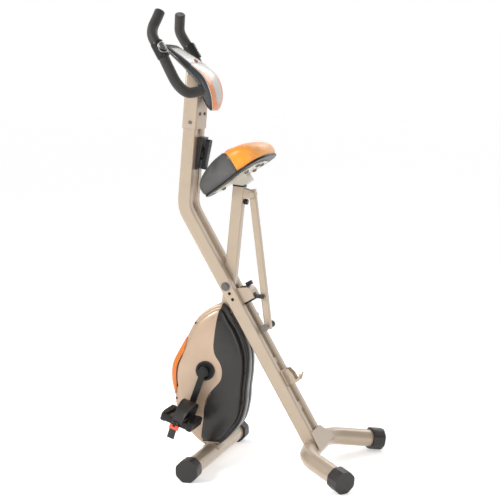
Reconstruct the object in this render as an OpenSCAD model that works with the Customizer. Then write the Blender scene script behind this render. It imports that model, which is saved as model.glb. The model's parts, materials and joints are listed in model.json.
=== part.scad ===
// Folding upright exercise bike: twin handlebar rails crossed by a seat tube at one pivot bolt.
// X runs to the rear, Y to the rider's right and Z up. The bike stands folded on its two bases.

/* [Frames] */
// Height of the fold pivot above the floor
pivot_z = 516; // [512:1:520]
// How far the fold pivot stands in front of the middle of the footprint
pivot_front = 111.6; // [105:0.1:118]
// Lean of the lower rails, top forward
rail_lean = 28.9; // [28.5:0.1:29.3]
// Lean of the upper rails and the handlebar post, top rearward
post_lean = 5.6; // [5:0.1:6]
// Lean of the seat tube, top rearward
seat_lean = 6.6; // [6.3:0.1:6.8]
// Depth of a rail, front to rear
rail_d = 37; // [35:1:38]
// Width of a rail
rail_w = 27; // [25:1:28]
// Clear gap between the two rails
rail_gap = 33; // [32.5:0.5:34]
// Distance from the pivot up to the bend in the rails
bend_s = 254; // [248:1:260]
// Depth of the seat tube
seat_tube_d = 33; // [32:0.5:34]
// Wall of the frame tubes
wall = 2; // [1.5:0.5:2.5]

/* [Bases] */
// Diameter of the round base tubes
base_d = 50; // [48:1:51]
// Width of an end cap across its flats
cap_af = 62; // [60:1:64]
// Length of the straight front base over its caps
front_base_l = 480; // [460:5:490]
// Slope of the rear base's arms
arm_slope = 13.5; // [13:0.5:14]

/* [Handlebar] */
// Diameter of the steel handlebar
bar_d = 25; // [24:1:25]
// Diameter over the foam grips
grip_d = 30; // [29:1:32]

/* [Drive] */
// Crank length, spindle to pedal
crank_r = 132; // [128:1:134]
// Angle of the left crank from straight down, towards the front
crank_angle = 21; // [15:1:25]
// Radius of the drive pulley
drive_r = 80; // [76:1:81]
// Radius of the flywheel
flywheel_r = 57; // [50:1:60]
// Tilt of the left pedal, front edge up
pedal_tilt = 20; // [10:1:25]

/* [Seat] */
// Tilt of the folded seat, rear up
seat_tilt = 32; // [30:1:33]
// Length of the cushion
seat_l = 238; // [230:1:242]
// Widest part of the cushion
seat_w = 214; // [205:1:220]

/* [Hidden] */

$fn = 32;
rail_y = (rail_gap + rail_w) / 2;      // middle of each rail
rail_out = rail_gap / 2 + rail_w;      // outer face of each rail
half_rail = rail_d / 2;
seat_tube_w = 30;
half_tube = seat_tube_d / 2;
bend_r = 80;                           // bend radius on the middle of the rail
bend_angle = rail_lean + post_lean;
bend_back = bend_r * tan(bend_angle / 2);
pivot = [-pivot_front, 0, pivot_z];
pivot_bolt_r = 6;
running = 0.05;                        // radial clearance of a running fit
champagne = [0.76, 0.67, 0.57];
black = [0.09, 0.09, 0.09];
charcoal = [0.22, 0.21, 0.21];
steel = [0.72, 0.72, 0.74];
orange = [0.93, 0.48, 0.08];

// rear base: a U in a sloping plane, its middle under the rails
mid_half = 70;
u_bend_r = 100;
u_turn = 50;
u_end = 140;
cap_low = cap_af / 2 * sqrt(1 - pow(cos(90 - u_turn) * sin(arm_slope), 2));
u_z = cap_low + u_end * sin(arm_slope);
u_x = pivot[0] + (pivot_z - u_z) * tan(rail_lean);
arm_l = (u_end - u_bend_r * (1 - cos(u_turn))) / sin(u_turn);
base_s = (pivot_z - u_z) / cos(rail_lean);

// front base under the seat tube
front_z = cap_af / 2;
front_s = (pivot_z - front_z) / cos(seat_lean);
tube_top_s = 282;

// handlebar route on the left side: forward, across and up, from the middle of the bar
post_z0 = pivot_z + bend_s * cos(rail_lean);
post_x0 = pivot[0] - bend_s * sin(rail_lean);
bar_clamp_z = 1065;
function post_x(z) = post_x0 + (z - post_z0) * tan(post_lean);
sleeve_wall = 3;
sleeve_half = half_rail + sleeve_wall;
bar_x = post_x(bar_clamp_z) + sleeve_half + bar_d / 2 + 1;
bar_points = [
    [bar_x, 0, bar_clamp_z], [bar_x, -40, bar_clamp_z], [bar_x - 6, -72, bar_clamp_z - 3],
    [bar_x - 28, -102, bar_clamp_z - 4], [bar_x - 50, -120, bar_clamp_z + 20],
    [bar_x - 72, -128, bar_clamp_z + 66], [bar_x - 93, -130, bar_clamp_z + 112],
    [bar_x - 115, -125, bar_clamp_z + 146], [bar_x - 122, -108, bar_clamp_z + 172],
    [bar_x - 116, -92, bar_clamp_z + 198], [bar_x - 110, -80, bar_clamp_z + 220]
];
grip_from = 30; // the foam begins this far from the middle of the bar

// drive side, measured from the pivot
hub = [pivot[0] - 62, pivot_z - 243];
fly = [pivot[0] - sin(seat_lean) * 376, pivot_z - cos(seat_lean) * 376];
small_r = drive_r / 6;                 // the belt turns the flywheel six times a crank turn
housing_half = 50;
flange_half = 31;

// strut: from a lug behind the seat tube down to a cross pin behind the rails
strut_w = 19;
lug_s = 264;
lug_n = 41;
strut_l = 375;
strut_lean = 6.2;
strut_top = pivot + [lug_n * cos(seat_lean) + lug_s * sin(seat_lean), 0,
    lug_s * cos(seat_lean) - lug_n * sin(seat_lean)];
strut_pin_r = 5;

// catch for the strut's pin on the back of the rails, along and away from them
hook_s = -318;
hook_n = 49.5;

// seat, on its post
post_w = 24;
post_d = 27;
seat_s = 308;
seat_origin = pivot + seat_s * [sin(seat_lean), 0, cos(seat_lean)];

module at_pivot() translate(pivot) children();
module on_rails() at_pivot() rotate([0, -rail_lean, 0]) children();
module on_seat_tube() at_pivot() rotate([0, seat_lean, 0]) children();
module on_post(z) translate([post_x(z), 0, z]) rotate([0, post_lean, 0]) children();
module on_hub() translate([hub[0], 0, hub[1]]) rotate([90, 0, 0]) children();
module on_flywheel() translate([fly[0], 0, fly[1]]) rotate([90, 0, 0]) children();
module on_strut() translate(strut_top) rotate([0, -strut_lean, 0]) children();
module on_seat() translate(seat_origin) rotate([0, -seat_tilt, 0]) children();
module both_sides() { children(); mirror([0, 1, 0]) children(); }

module round_rect(w, h, r) {
    square([w - 2 * r, h], center = true);
    square([w, h - 2 * r], center = true);
    for (x = [-1, 1], y = [-1, 1]) translate([x * (w / 2 - r), y * (h / 2 - r)]) circle(r);
}

module box_tube(w, h, l, r = 4, t = wall) {
    linear_extrude(l) difference() {
        round_rect(w, h, r);
        round_rect(w - 2 * t, h - 2 * t, r - 1);
    }
}

// cylinder along Y, centred on the XZ plane
module y_rod(r, l) rotate([90, 0, 0]) cylinder(r = r, h = l, center = true);

// cylinder along X, from x0 to x1
module x_rod(r, x0, x1) translate([x0, 0, 0]) rotate([0, 90, 0]) cylinder(r = r, h = x1 - x0);

// flat plate from an outline of [x, z] points, centred on the XZ plane
module y_plate(points, t) rotate([90, 0, 0]) linear_extrude(t, center = true) polygon(points);

// smooth curve through points: uniform Catmull-Rom, steps per span
function spline_at(a, b, c, d, t) = 0.5 * ((2 * b) + (c - a) * t
    + (2 * a - 5 * b + 4 * c - d) * t * t + (3 * b - a - 3 * c + d) * t * t * t);
function spline(p, steps) = [
    for (i = [0:len(p) - 2], k = [0:steps - 1])
        spline_at(p[max(i - 1, 0)], p[i], p[i + 1], p[min(i + 2, len(p) - 1)], k / steps),
    p[len(p) - 1]
];
function loop_spline(p, steps) = [
    for (i = [0:len(p) - 1], k = [0:steps - 1])
        spline_at(p[(i + len(p) - 1) % len(p)], p[i], p[(i + 1) % len(p)],
            p[(i + 2) % len(p)], k / steps)
];
function unit(v) = v / norm(v);
function tangent(p, i) = unit(p[min(i + 1, len(p) - 1)] - p[max(i - 1, 0)]);
function ring(p, i, r, n) =
    let (t = tangent(p, i), side = unit(cross(t, [0.2, 0, 1])), up = cross(side, t))
    [for (k = [0:n - 1]) p[i] + r * (cos(360 * k / n) * side + sin(360 * k / n) * up)];

// closed tube swept along a route; with a hole it is a sleeve
module sweep(route, r, hole = 0, n = 16) {
    m = len(route);
    outer = [for (i = [0:m - 1]) each ring(route, i, r, n)];
    inner = hole > 0 ? [for (i = [0:m - 1]) each ring(route, i, hole, n)] : [];
    walls = [for (i = [0:m - 2], k = [0:n - 1])
        [i * n + k, i * n + (k + 1) % n, (i + 1) * n + (k + 1) % n, (i + 1) * n + k]];
    bore = hole > 0 ? [for (i = [0:m - 2], k = [0:n - 1])
        [m * n + i * n + k, m * n + (i + 1) * n + k, m * n + (i + 1) * n + (k + 1) % n,
            m * n + i * n + (k + 1) % n]] : [];
    ends = hole > 0 ? [for (k = [0:n - 1]) each [
        [k, m * n + k, m * n + (k + 1) % n, (k + 1) % n],
        [(m - 1) * n + k, (m - 1) * n + (k + 1) % n, m * n + (m - 1) * n + (k + 1) % n,
            m * n + (m - 1) * n + k]]]
        : [[for (k = [n - 1:-1:0]) k], [for (k = [0:n - 1]) (m - 1) * n + k]];
    polyhedron(concat(outer, inner), concat(walls, bore, ends));
}

// ---- handlebar frame: rails, post, bars, rear base ----

module rail_section() difference() {
    round_rect(rail_d, rail_w, 5);
    round_rect(rail_d - 2 * wall, rail_w - 2 * wall, 3);
}

module rail_body() {
    s1 = bend_s - bend_back;
    translate([0, 0, -base_s]) linear_extrude(base_s + s1) rail_section();
    translate([bend_r, 0, s1]) rotate([90, 0, 180]) rotate_extrude(angle = bend_angle, $fn = 96)
        translate([bend_r, 0]) rail_section();
    translate([0, 0, bend_s]) rotate([0, bend_angle, 0]) translate([0, 0, bend_back])
        linear_extrude(340 - bend_back) rail_section();
}

module rail(side) {
    color(champagne) difference() {
        on_rails() translate([0, side * rail_y, 0]) rail_body();
        translate([u_x, 0, u_z]) y_rod(base_d / 2 + 3, 400);
        on_rails() {
            y_rod(pivot_bolt_r + running, 200);
            for (s = [23, 42]) translate([0, 0, -s]) y_rod(4.5, 200);
        }
    }
}

module rail_left() rail(-1);
module rail_right() rail(1);

module rail_bridge() {
    // cross plates that hold the rails apart, in the gap between them
    color(champagne) on_rails() {
        translate([0, 0, bend_s - 6]) cube([20, rail_gap, 34], center = true);
        translate([0, 0, -395]) cube([24, rail_gap, 24], center = true);
        translate([0, 0, -250]) cube([24, rail_gap, 16], center = true);
    }
}

sleeve_low = 960;
sleeve_high = 1120;
module sleeve_block(grow, z0, z1) on_post(z0) translate([0, 0, 0])
    linear_extrude((z1 - z0) / cos(post_lean))
        round_rect(rail_d + 2 * grow, 2 * rail_out + 2 * grow, 4 + grow);

module post_sleeve() {
    color(champagne) difference() {
        sleeve_block(sleeve_wall, sleeve_low, sleeve_high);
        sleeve_block(0.3, sleeve_low - 5, sleeve_high + 5);
        console_solid();
    }
}

module post_screws() {
    color(steel) {
        for (side = [-1, 1]) on_post(978) translate([3, side * (rail_out + sleeve_wall + 1.2), 0])
            y_rod(5, 2.4);
        for (side = [-1, 1]) on_post(1002)
            translate([sleeve_half, side * 20, 0]) x_rod(4.5, 0, 3);
    }
}

module in_base_plane() translate([u_x, 0, u_z]) rotate([0, arm_slope, 0]) children();

module tube_section() difference() {
    circle(base_d / 2);
    circle(base_d / 2 - wall);
}

weld = 0.02; // the bends are separate tubes butted to the straights
module rear_base_tube() {
    bend_x = u_bend_r * (1 - cos(u_turn));
    bend_y = mid_half + u_bend_r * sin(u_turn);
    color(champagne) in_base_plane() {
        translate([0, mid_half - weld, 0]) rotate([90, 0, 0])
            linear_extrude(2 * (mid_half - weld)) tube_section();
        both_sides() {
            translate([u_bend_r, -mid_half, 0]) rotate([0, 0, 180])
                rotate_extrude(angle = u_turn, $fn = 96) translate([u_bend_r, 0]) tube_section();
            translate([bend_x, -bend_y, 0]) rotate([0, 0, u_turn - 90]) rotate([0, 90, 0])
                translate([0, 0, weld]) linear_extrude(arm_l - 4 - weld) tube_section();
        }
    }
}

saddle_t = 3;
module rear_base_saddle() {
    color(champagne) {
        // saddle wrapped over the tube under the rails
        translate([u_x, 0, u_z]) rotate([90, 0, 0]) rotate([0, 0, 41]) translate([0, 0, -50])
            rotate_extrude(angle = 129, $fn = 96) translate([base_d / 2, 0]) square([saddle_t, 100]);
        // gusset plate from the back of the rails down over the tube
        translate([u_x, 0, u_z]) rotate([0, 48, 0]) translate([0, 0, base_d / 2 + saddle_t])
            linear_extrude(4) polygon([[-37.8, -44], [-37.8, 44], [16, 84], [16, -84]]);
    }
}

// end cap around a tube end, its flat face at x = 0 and the tube entering from -x
module end_cap(l, side_lean = 0) {
    difference() {
        rotate([side_lean, 0, 0]) rotate([0, -90, 0]) intersection() {
            rotate([0, 0, 22.5]) cylinder(r = cap_af / 2 / cos(22.5), h = l, $fn = 8);
            cylinder(r = cap_af / 2 + 1.2, h = l);
        }
        x_rod(base_d / 2, -l - 1, -4);
    }
}

module rear_base_caps() {
    color(charcoal) in_base_plane() both_sides()
        translate([u_bend_r * (1 - cos(u_turn)), -mid_half - u_bend_r * sin(u_turn), 0])
            rotate([0, 0, u_turn - 90]) translate([arm_l, 0, 0])
                end_cap(38, atan(cos(u_turn) * tan(arm_slope)));
}

bar_route = spline(bar_points, 3);
function mirrored(p) = [for (v = p) [v[0], -v[1], v[2]]];
function reversed(p) = [for (i = [len(p) - 1:-1:0]) p[i]];
// the grip covers the route from the first bend outwards
grip_route = [for (i = [4:len(bar_route) - 1]) bar_route[i]];
bar_whole = concat(reversed(mirrored(bar_route)), [for (i = [1:len(bar_route) - 1]) bar_route[i]]);

module handlebar() color(steel) sweep(bar_whole, bar_d / 2);
module grip_left() color(black) sweep(grip_route, grip_d / 2, bar_d / 2 + 0.6);
module grip_right() color(black) mirror([0, 1, 0]) grip_left();

module bar_clamp() {
    // block that holds the bar to the back of the post
    color(black) difference() {
        translate([bar_x, 0, bar_clamp_z]) rotate([0, post_lean, 0]) cube([bar_d + 16, 34, 40], center = true);
        translate([bar_x, 0, bar_clamp_z]) y_rod(bar_d / 2 + 0.6, 60);
        sleeve_block(sleeve_wall, sleeve_low, sleeve_high);
        console_solid();
    }
}

sensor_i = 18; // the route's point under each pulse sensor
module at_sensor() {
    p = bar_route[sensor_i];
    t = tangent(bar_route, sensor_i);
    translate(p) rotate([0, 0, atan2(t[1], t[0])]) rotate([0, acos(t[2]), 0]) children();
}

module pulse_sensors() {
    color(black) both_sides() at_sensor() rotate_extrude(angle = 360) polygon([
        [grip_d / 2 + 1.8, -23], [grip_d / 2 + 2.6, -23], [grip_d / 2 + 3.4, -19],
        [grip_d / 2 + 3.4, 19], [grip_d / 2 + 2.6, 23], [grip_d / 2 + 1.8, 23]]);
}

module pulse_plates() {
    color(steel) both_sides() at_sensor() difference() {
        cylinder(r = grip_d / 2 + 4, h = 32, center = true);
        cylinder(r = grip_d / 2 + 3.4, h = 50, center = true);
        cube([60, 12, 60], center = true);
    }
}

// console: a bent wedge, its face towards the rider when the bike is open
console_side = [
    [-114, 1194], [-53, 1157], [5, 1112], [20, 1085], [26, 1052], [20, 1016], [13, 1010],
    [4, 1030], [-1, 1054], [-14, 1083], [-60, 1124], [-106, 1166], [-121, 1186]
];
function shift(p) = [for (v = p) [v[0] + pivot[0] - 50.5, v[1]]];
console_profile = shift(console_side);
console_plan = [[44, 0], [56, 4], [67, 30], [75, 72], [74, 110], [71, 143], [64, 176], [54, 202],
    [38, 224], [20, 232]];

module console_outline(grow = 0) {
    // plan outline of the console, along its length z and half width y
    right = spline([for (v = console_plan) [v[0] + grow, v[1]]], 3);
    polygon(concat([for (v = right) v], [for (v = reversed(right)) [-v[0], v[1]]]));
}

module console_solid() {
    difference() {
        intersection() {
            y_plate(loop_spline(console_profile, 3), 200);
            translate([pivot[0] - 50.5 - 150, 0, 1174]) rotate([0, 46, 0]) rotate([0, 0, -90])
                translate([0, 9, -200]) linear_extrude(400) console_outline();
        }
        // groove for the bar and its foam
        translate([bar_x - 1, 0, bar_clamp_z - 1]) y_rod(grip_d / 2 + 4, 300);
    }
}

face_dir = atan2(1157 - 1194, -53 + 114); // slope of the console's upper face
module on_console_face(d) translate([pivot[0] - 50.5 - 114, 0, 1194]) rotate([0, -face_dir, 0])
    translate([d, 0, 0]) children();

module console_shell() {
    color(black) difference() {
        console_solid();
        on_console_face(38) translate([0, 0, 0]) cube([50, 84, 6], center = true);
        on_console_face(86) cylinder(r = 6.6, h = 14, center = true);
        on_console_face(50) translate([0, 0, -11.5]) cube([76, 92, 9], center = true);
    }
}

module console_window() color([0.62, 0.62, 0.56]) on_console_face(38)
    translate([0, 0, -1.7]) cube([49.6, 83.6, 2.6], center = true);
module console_board() color([0.1, 0.35, 0.16]) on_console_face(50)
    translate([0, 0, -15.2]) cube([70, 86, 1.6], center = true);
module mode_button() color(orange) on_console_face(86)
    translate([0, 0, -3.2]) cylinder(r = 6, h = 6);

knob_z = 893;
knob_tilt = 7;
module on_knob() on_post(knob_z) translate([half_rail, 0, 0]) rotate([0, knob_tilt, 0]) children();

module tension_base() {
    color(charcoal) difference() {
        on_post(knob_z) y_plate([[half_rail, -46], [half_rail, 44], [half_rail + 5, 46],
            [38.6, 45], [27.6, -45], [half_rail + 3, -48]], 44);
        on_knob() x_rod(5 + running, -30, 60);
    }
}

module tension_knob() {
    color(black) on_knob() {
        x_rod(5, 3, 18);
        x_rod(19, 15, 20);
        difference() {
            translate([19, 0, 0]) rotate([0, 90, 0]) linear_extrude(12) round_rect(86, 24, 8);
            translate([29.5, -2, 22]) cube([4, 4, 16]);
        }
    }
}

module strut_hook() {
    color(champagne) on_rails() {
        translate([half_rail, -34, hook_s - 9]) cube([4, 68, 44]);
        for (y = [-15, 15]) translate([0, y, 0]) difference() {
            y_plate([[half_rail + 3, -285], [37, -287], [42.5, -306], [42.5, -325], [hook_n, -325],
                [62, -314], [64, -318], [50, -332], [half_rail + 3, -332]], 4);
            translate([hook_n, 0, hook_s]) y_rod(strut_pin_r + 0.6, 10);
        }
    }
}

lock_s = -18; // the pull pin meets the seat tube this far from the pivot
lock_in = 0.6;
module on_lock() on_seat_tube() translate([0, 0, lock_s]) children();
module lever_slot() on_lock() translate([59.4, -23, -6.6]) cube([80, 30, 13.2]);

module lock_bracket() {
    color(champagne) difference() {
        on_rails() difference() {
            y_plate([[half_rail, -18], [50, -32], [55, -42], [55, -66], [half_rail, -66]], 54);
            y_plate([[0, -1], [47, -30], [51, -43], [51, -80], [0, -80]], 47);
        }
        on_lock() x_rod(8, half_tube, 66);
        lever_slot();
        on_rails() translate([40, -7.2, -29.2]) cube([24, 14.4, 12.4]);
    }
}

module lock_insert() {
    color(black) {
        difference() {
            on_rails() y_plate([[half_rail + 0.5, -22], [45.5, -32], [50.5, -44], [50.5, -71],
                [half_rail + 0.5, -71]], 46);
            on_lock() x_rod(5 + running, 0, 90);
            lever_slot();
        }
        on_rails() translate([43, -7, -29]) cube([18, 14, 12]);
    }
}

module lock_pin() {
    color(charcoal) on_lock() {
        x_rod(5, half_tube + lock_in, 66);
        translate([60, -22, -6]) cube([8, 28, 12]);
        translate([60, -22, -5.5]) cube([47, 10, 11]);
    }
}

module pivot_bolt() {
    color(steel) at_pivot() {
        y_rod(pivot_bolt_r, 2 * rail_out + 6);
        for (side = [-1, 1]) translate([0, side * (rail_out + 1.2), 0]) {
            y_rod(12.5, 2.4);
            translate([0, side * 3, 0]) y_rod(8, 3.8);
        }
    }
}

// ---- seat frame: seat tube, front base, housing and drive ----

module seat_tube() {
    color(champagne) difference() {
        on_seat_tube() translate([0, 0, -front_s]) linear_extrude(front_s + tube_top_s)
            difference() {
                round_rect(seat_tube_d, seat_tube_w, 4);
                round_rect(seat_tube_d - 2 * wall, seat_tube_w - 2 * wall, 2);
            }
        translate([0, 0, 0]) front_axis() y_rod(base_d / 2 + saddle_t, 200);
        at_pivot() y_rod(9, 100);
        on_seat_tube() {
            translate([0, 0, lock_s]) x_rod(5.3, half_tube - wall - 1, half_tube + 1);
            translate([0, 0, pin_s]) x_rod(5.5, half_tube - wall - 1, half_tube + 1);
        }
        translate([fly[0], 0, fly[1]]) y_rod(10, 100);
    }
}

module pivot_bushings() {
    color([0.85, 0.85, 0.82]) at_pivot() difference() {
        union() {
            y_rod(9, seat_tube_w);
            for (side = [-1, 1]) translate([0, side * (seat_tube_w / 2 + 0.6), 0]) y_rod(13, 1.2);
        }
        y_rod(pivot_bolt_r + running, 60);
    }
}

module post_collar() {
    // plastic guide in the mouth of the seat tube
    color(black) on_seat_tube() translate([0, 0, tube_top_s]) difference() {
        union() {
            linear_extrude(4) round_rect(seat_tube_d + 1.5, seat_tube_w + 1.5, 4);
            translate([0, 0, -30]) linear_extrude(30)
                round_rect(seat_tube_d - 2 * wall, seat_tube_w - 2 * wall, 2);
        }
        translate([0, 0, -40]) linear_extrude(60) round_rect(post_d + 0.1, post_w + 0.1, 3);
    }
}

module strut_lug() {
    color(champagne) on_seat_tube() for (side = [-1, 1])
        translate([0, side * (strut_w / 2 + 3), 0]) difference() {
            y_plate([[half_tube, lug_s - 14], [lug_n - 2, lug_s - 11], [lug_n + 8, lug_s - 5],
                [lug_n + 8, lug_s + 6], [lug_n, lug_s + 10], [half_tube, lug_s + 14]], 4);
            translate([lug_n, 0, lug_s]) y_rod(4, 20);
        }
    color(steel) on_seat_tube() translate([lug_n, 0, lug_s]) {
        y_rod(4, strut_w + 16);
        for (side = [-1, 1]) translate([0, side * (strut_w / 2 + 7.4), 0]) y_rod(7.5, 4.8);
    }
}

module front_axis() translate([pivot[0] - sin(seat_lean) * front_s, 0, front_z]) children();

module front_saddle() {
    color(champagne) front_axis() {
        rotate([90, 0, 0]) rotate([0, 0, 20]) translate([0, 0, -34])
            rotate_extrude(angle = 140, $fn = 96) translate([base_d / 2, 0]) square([saddle_t, 68]);
        translate([0, 0, base_d / 2 + saddle_t + 1]) difference() {
            cube([50, 68, 4], center = true);
            translate([3, 0, 0]) cube([seat_tube_d + 3, seat_tube_w + 1, 10], center = true);
        }
    }
}

module front_base_tube() {
    color(champagne) front_axis() difference() {
        y_rod(base_d / 2, front_base_l - 8);
        y_rod(base_d / 2 - wall, front_base_l);
    }
}

module front_base_caps() {
    color(charcoal) front_axis() both_sides()
        translate([0, -front_base_l / 2, 0]) rotate([0, 0, -90]) end_cap(40);
}

module front_base_bolts() {
    color(steel) front_axis() both_sides() for (x = [-14, 14])
        translate([x, -25, base_d / 2 + saddle_t + 3]) {
            cylinder(r = 7.5, h = 6, $fn = 6);
            cylinder(r = 4.5, h = 11);
        }
}

// side outline of the housing, from the pivot
housing_side = [
    [-18, -51], [-54, -66], [-91, -96], [-118, -141], [-142, -189], [-163, -232], [-168, -273],
    [-163, -314], [-161, -352], [-143, -398], [-112, -436], [-80, -462], [-52, -468], [-22, -456],
    [10, -425], [37, -388], [50, -340], [54, -296], [60, -252], [62, -205], [54, -165],
    [36, -122], [14, -88], [0, -62]
];
housing_curve = loop_spline([for (v = housing_side) [v[0] + pivot[0], v[1] + pivot[2]]], 2);
housing_mid = [pivot[0] - 53, pivot[2] - 260];
// the outline drawn in by about d all round
function inward(p, d) = [for (v = p) housing_mid
    + [(v[0] - housing_mid[0]) * (1 - d / 115), (v[1] - housing_mid[1]) * (1 - d / 209)]];

shell_t = 3;
module housing_block(d, y0, y1) translate([0, y1, 0]) rotate([90, 0, 0])
    linear_extrude(y1 - y0) polygon(inward(housing_curve, d));

module housing_shell() {
    difference() {
        union() {
            housing_block(0, -flange_half, 0);
            housing_block(9, -43, -flange_half + 1);
            housing_block(20, -housing_half, -42);
        }
        housing_block(shell_t, -flange_half + shell_t, 1);
        housing_block(9 + shell_t, -43 + shell_t, 1);
        housing_block(20 + shell_t, -housing_half + shell_t, 1);
        on_hub() cylinder(r = 23, h = 200, center = true);
        // slot for the seat tube, top and bottom
        on_seat_tube() translate([0, 0, -100]) cube([seat_tube_d + 3, seat_tube_w + 3, 140], center = true);
        front_axis() translate([0, 0, 26]) cube([70, 74, 44], center = true);
    }
}

module housing_left() color(champagne) housing_shell();
module housing_right() color(champagne) mirror([0, 1, 0]) housing_shell();

module housing_vents() {
    color(orange) both_sides() difference() {
        intersection() {
            housing_block(-1.6, -flange_half + 3, -4);
            translate([pivot[0] - 175, -60, pivot_z - 320]) cube([36, 60, 145]);
        }
        housing_block(-0.02, -80, 1);
        translate([pivot[0] - 190, -60, pivot_z - 262]) cube([60, 80, 3]);
        translate([pivot[0] - 190, -60, pivot_z - 238]) cube([60, 80, 3]);
    }
}

module hub_rings() {
    color(black) both_sides() translate([0, -housing_half, 0]) on_hub() difference() {
        union() {
            cylinder(r = 28, h = 6);
            translate([0, 0, -8]) cylinder(r = 22.9, h = 9);
        }
        translate([0, 0, -20]) cylinder(r = 20.5, h = 40);
    }
}

module housing_screws() {
    color(black) both_sides() for (v = [[-95.3, -109.2, 31], [-157.8, -331.5, 31],
        [-124.6, -413.6, 31], [-20, -96, 50], [55.7, -252, 31], [46, -338.3, 31]])
        translate([v[0] + pivot[0], -v[2] - 0.9, v[1] + pivot_z]) y_rod(2.8, 1.8);
}

module bearing_shell() {
    color(champagne) translate([hub[0], 0, hub[1]]) difference() {
        union() {
            y_rod(20, 46);
            translate([18, 0, 0]) cube([12, 26, 34], center = true);
        }
        y_rod(15, 60);
        translate([pivot[0] - hub[0], 0, pivot_z - hub[1]]) rotate([0, seat_lean, 0])
            translate([0, 0, -240]) cube([seat_tube_d, seat_tube_w, 200], center = true);
    }
}

module drive_bearings() {
    color(steel) {
        both_sides() translate([hub[0], -17, hub[1]]) difference() {
            y_rod(15, 11);
            y_rod(8.5 + running, 20);
        }
        both_sides() translate([fly[0], 0, fly[1]]) difference() {
            translate([0, -11, 0]) y_rod(10, 9);
            y_rod(6 + running, 60);
        }
    }
}

module flywheel_axle() color(steel) on_flywheel() cylinder(r = 6, h = 84, center = true);

// the flywheel is on the left of the tube and its small pulley on the right, on one axle
module flywheel() {
    color([0.3, 0.3, 0.32]) on_flywheel() {
        difference() {
            translate([0, 0, 22]) cylinder(r = flywheel_r, h = 17);
            translate([0, 0, 30]) cylinder(r = flywheel_r - 14, h = 20);
            translate([0, 0, 20]) cylinder(r = 6, h = 30);
        }
        translate([0, 0, 30]) difference() {
            cylinder(r = 13, h = 11);
            translate([0, 0, -1]) cylinder(r = 6, h = 20);
        }
    }
    color(charcoal) on_flywheel() translate([0, 0, -39]) difference() {
        union() {
            cylinder(r = small_r, h = 14);
            cylinder(r = small_r + 3, h = 2);
            translate([0, 0, 14]) cylinder(r = small_r + 3, h = 2);
        }
        translate([0, 0, -1]) cylinder(r = 6, h = 30);
    }
}

// belt round the two pulleys, from their tangent lines
span = [fly[0] - hub[0], fly[1] - hub[1]];
span_l = norm(span);
span_dir = atan2(span[1], span[0]);
belt_tilt = acos((drive_r - small_r) / span_l);
function belt_line(grow) = let (r1 = drive_r + grow, r2 = small_r + grow) concat(
    [for (a = [belt_tilt:(360 - 2 * belt_tilt) / 40:360 - belt_tilt + 0.01])
        hub + r1 * [cos(span_dir + a), sin(span_dir + a)]],
    [for (a = [-belt_tilt:belt_tilt / 6:belt_tilt + 0.01])
        fly + r2 * [cos(span_dir + a), sin(span_dir + a)]]);

module drive_belt() {
    color(black) translate([0, 36.5, 0]) rotate([90, 0, 0]) linear_extrude(9) difference() {
        polygon(belt_line(2.4));
        polygon(belt_line(0.5));
    }
}

magnet_a = 100; // where the magnet bracket hangs, round the flywheel
magnet_pivot = fly + (flywheel_r + 10) * [cos(magnet_a), sin(magnet_a)];
module magnet_bracket() {
    color(charcoal) difference() {
        union() {
            translate([fly[0], 0, fly[1]]) rotate([90, 0, 0]) translate([0, 0, 21.5])
                linear_extrude(18) intersection() {
                    difference() {
                        circle(flywheel_r + 12, $fn = 96);
                        circle(flywheel_r + 8, $fn = 96);
                    }
                    polygon([[0, 0], 200 * [cos(magnet_a), sin(magnet_a)],
                        200 * [cos(150), sin(150)], 200 * [cos(205), sin(205)]]);
                }
            translate([magnet_pivot[0], -30.5, magnet_pivot[1]]) y_rod(7, 18);
        }
        translate([magnet_pivot[0], -30.5, magnet_pivot[1]]) y_rod(3, 40);
    }
    color(steel) for (a = [120:16:200]) translate([fly[0], -30.5, fly[1]]) rotate([0, -a, 0])
        translate([flywheel_r + 5.4, 0, 0]) cube([5.6, 14, 12], center = true);
}

// ---- crank, pulley and pedals ----

crank_out = [-crank_r * sin(crank_angle), -crank_r * cos(crank_angle)];
module crank_arm() {
    // along -z from the spindle; z is inwards to outwards along -Y
    difference() {
        union() {
            translate([0, -67, 0]) y_rod(15, 14);
            translate([0, -67, -crank_r]) y_rod(12, 12);
            translate([0, -67, -crank_r / 2]) cube([17, 11, crank_r], center = true);
        }
        translate([0, -67, 0]) y_rod(8.5, 40);
        translate([0, -67, -crank_r]) y_rod(6 + running, 40);
    }
}

module crank_left() {
    color(black) translate([hub[0], 0, hub[1]]) rotate([0, crank_angle, 0]) crank_arm();
    color(steel) translate([hub[0], 0, hub[1]]) difference() {
        y_rod(8.5, 150);
        translate([0, 100, 0]) cube([40, 200, 40], center = true);
    }
    color(charcoal) translate([hub[0], -74.5, hub[1]]) y_rod(11, 3);
}

module crank_right() mirror([0, 1, 0]) {
    color(black) translate([hub[0], 0, hub[1]]) rotate([0, 180 + crank_angle, 0]) crank_arm();
    color(steel) translate([hub[0], 0, hub[1]]) difference() {
        y_rod(8.5, 150);
        translate([0, 100, 0]) cube([40, 200, 40], center = true);
    }
    color(charcoal) translate([hub[0], -74.5, hub[1]]) y_rod(11, 3);
}

module drive_pulley() {
    color(charcoal) translate([hub[0], 32, hub[1]]) difference() {
        union() {
            y_rod(drive_r, 10);
            translate([0, 5.7, 0]) y_rod(drive_r + 2, 1.6);
        }
        y_rod(8.5, 30);
        translate([0, 5, 0]) difference() {
            y_rod(drive_r - 8, 10);
            y_rod(22, 12);
        }
        for (a = [30:60:330]) rotate([0, a, 0]) translate([50, 0, 0]) y_rod(14, 30);
    }
}

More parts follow.
